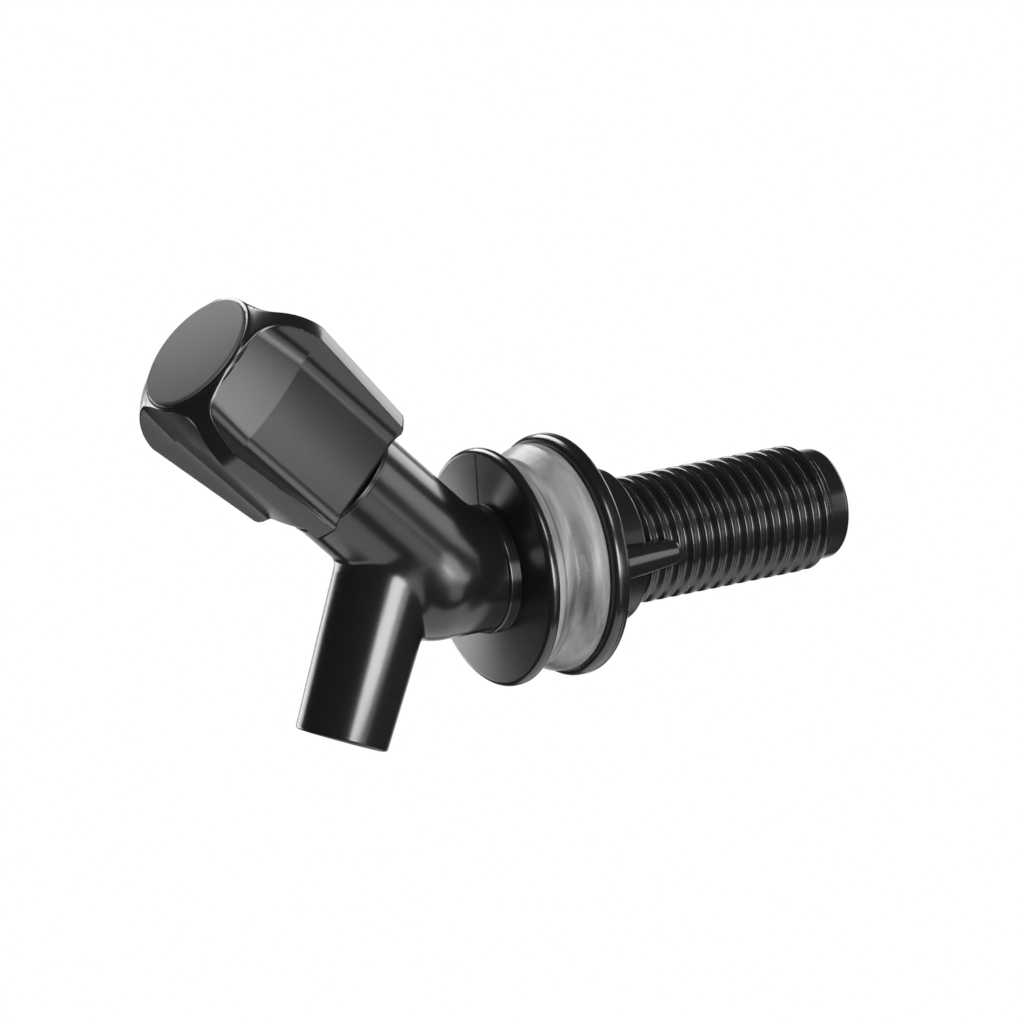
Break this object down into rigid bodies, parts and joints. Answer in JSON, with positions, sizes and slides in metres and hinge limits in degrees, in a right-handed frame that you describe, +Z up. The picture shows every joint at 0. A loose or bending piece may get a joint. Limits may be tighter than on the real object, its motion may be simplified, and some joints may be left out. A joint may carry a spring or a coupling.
{
  "type": "plastic faucet",
  "caption": "Small black plastic screw-down faucet with a ribbed knob, down-turned spout, threaded wall shank, seals and a wing nut.",
  "frame": {"origin": "on the shank's axis, in the plane of the flange's sealing face", "axes": "+X along the shank to its open end, +Z up, the spout and barrel in the XZ plane"},
  "size_m": [0.0936, 0.0304, 0.0586],
  "materials": {
    "body": "semi-gloss black moulding",
    "outer_seal": "translucent pale grey, smooth",
    "inner_seal": "translucent pale grey, smooth",
    "wing_nut": "semi-gloss black moulding",
    "knob": "satin black moulding",
    "knob_cap": "matt charcoal",
    "knob_screw": "plain steel",
    "bonnet": "natural white, satin",
    "bonnet_o_ring": "black, smooth",
    "spindle": "natural white, satin",
    "spindle_o_ring": "black, smooth",
    "jumper": "natural white, satin",
    "seat_washer": "black, smooth"
  },
  "bodies": {
    "faucet_body": {"body": "body", "outer_seal": "outer_seal", "bonnet": "bonnet", "bonnet_o_ring": "bonnet_o_ring"},
    "plunger": {"jumper": "jumper", "seat_washer": "seat_washer"},
    "handle": {"knob": "knob", "knob_cap": "knob_cap", "knob_screw": "knob_screw", "spindle": "spindle", "spindle_o_ring": "spindle_o_ring"},
    "seal": {"inner_seal": "inner_seal"},
    "nut": {"wing_nut": "wing_nut"}
  },
  "joints": [
    {"name": "valve_lift", "type": "slide", "parent": "faucet_body", "child": "plunger", "axis": [-0.7071, 0, 0.7071], "range_m": [0, 0.003]},
    {"name": "knob_turn", "type": "hinge", "parent": "plunger", "child": "handle", "pos_m": [-0.0067, 0, 0], "axis": [-0.7071, 0, 0.7071], "range_deg": [0, 540]},
    {"name": "seal_slide", "type": "slide", "parent": "faucet_body", "child": "seal", "axis": [1, 0, 0], "range_m": [0, 0.028]},
    {"name": "nut_turn", "type": "hinge", "parent": "seal", "child": "nut", "pos_m": [0, 0, 0], "axis": [1, 0, 0], "range_deg": [0, 5040]}
  ],
  "couplings": [
    {"joint": "valve_lift", "follows": "knob_turn", "m_per_rad": 0.00031831},
    {"joint": "seal_slide", "follows": "nut_turn", "m_per_rad": 0.00031831}
  ]
}
